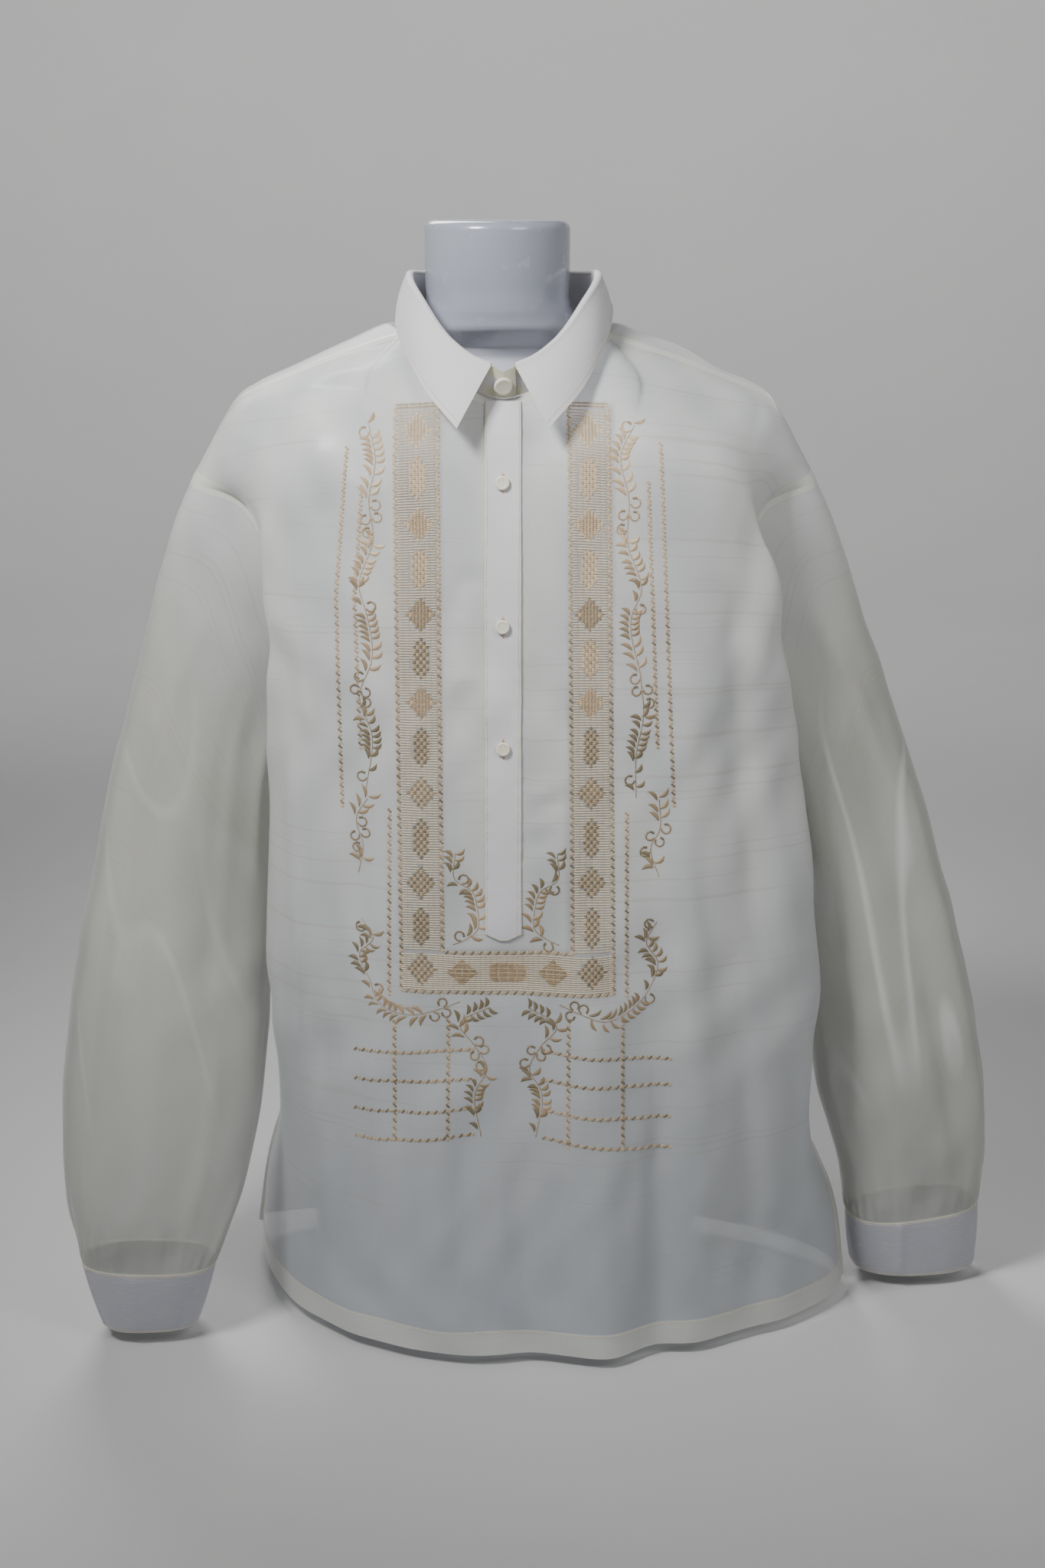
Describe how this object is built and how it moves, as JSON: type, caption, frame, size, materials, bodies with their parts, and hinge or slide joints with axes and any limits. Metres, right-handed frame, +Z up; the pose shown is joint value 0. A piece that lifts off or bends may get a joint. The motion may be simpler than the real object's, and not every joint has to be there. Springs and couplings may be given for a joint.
{
  "type": "barong tagalog shirt on dress form",
  "caption": "Sheer long-sleeved pullover shirt with a turned-down collar, buttoned half placket and side vents, standing on a plain limbless dress form.",
  "frame": {"origin": "the middle of the dress form's flat base, on the surface it stands on", "axes": "+Z up along the form, -Y out of the shirt's front, +X to the right of someone who looks at the front"},
  "size_m": [0.7664, 0.3127, 0.891],
  "materials": {
    "sheer_cloth": "sheer plain weave with a soft sheen",
    "stiff_cloth": "lined, opaque, matt",
    "covered_button": "cloth-covered",
    "white_plastic": "smooth gloss"
  },
  "bodies": {
    "root": {"front": "sheer_cloth", "back": "sheer_cloth", "sleeve_left": "sheer_cloth", "sleeve_right": "sheer_cloth", "cuff_left": "stiff_cloth", "cuff_right": "stiff_cloth", "collar_stand": "stiff_cloth", "collar_leaf": "stiff_cloth", "placket": "stiff_cloth", "button_stand": "covered_button", "button_1": "covered_button", "button_2": "covered_button", "button_3": "covered_button", "cuff_button_left": "covered_button", "cuff_button_right": "covered_button", "dress_form": "white_plastic"}
  },
  "joints": []
}
